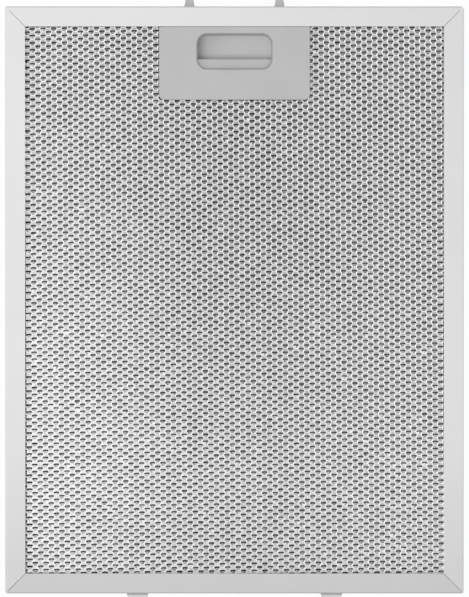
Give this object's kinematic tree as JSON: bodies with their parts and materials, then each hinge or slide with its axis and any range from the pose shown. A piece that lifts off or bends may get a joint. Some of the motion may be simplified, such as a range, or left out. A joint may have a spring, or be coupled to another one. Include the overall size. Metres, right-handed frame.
{
  "type": "cooker hood grease filter",
  "caption": "Flat rectangular cooker hood grease filter: folded aluminium frame round layers of expanded mesh, with a sprung plastic slide latch at one end and fixed lugs at the other.",
  "frame": {"origin": "centre of the panel on the plane of its back flange, on which it lies", "axes": "+X across the panel to the right as seen from the front, +Y along the panel towards the latch edge, +Z out of the front face with the finger opening"},
  "size_m": [0.25, 0.332, 0.009],
  "materials": {
    "frame_aluminium": "satin",
    "mesh_aluminium": "bright rolled",
    "foil_aluminium": "rolled foil",
    "latch_plastic": "fine matte",
    "slider_plastic": "fine matte",
    "spring_steel": "drawn wire",
    "lug_metal": "pressed sheet"
  },
  "bodies": {
    "panel": {"frame": "frame_aluminium", "front_mesh": "mesh_aluminium", "rear_mesh": "mesh_aluminium", "handle_plate": "latch_plastic", "latch_housing": "latch_plastic", "spring_left": "spring_steel", "spring_right": "spring_steel", "lug_left": "lug_metal", "lug_right": "lug_metal", "inner_mesh_1": "foil_aluminium", "inner_mesh_2": "foil_aluminium", "inner_mesh_3": "foil_aluminium", "inner_mesh_4": "foil_aluminium", "inner_mesh_5": "foil_aluminium"},
    "latch": {"latch_slider": "slider_plastic"}
  },
  "joints": [
    {"name": "latch_slide", "type": "slide", "parent": "panel", "child": "latch", "axis": [0, -1, 0], "range_m": [0, 0.006], "stiffness_N_per_m": 300, "springref_m": -0.006, "deforming": ["spring_left", "spring_right"]}
  ]
}
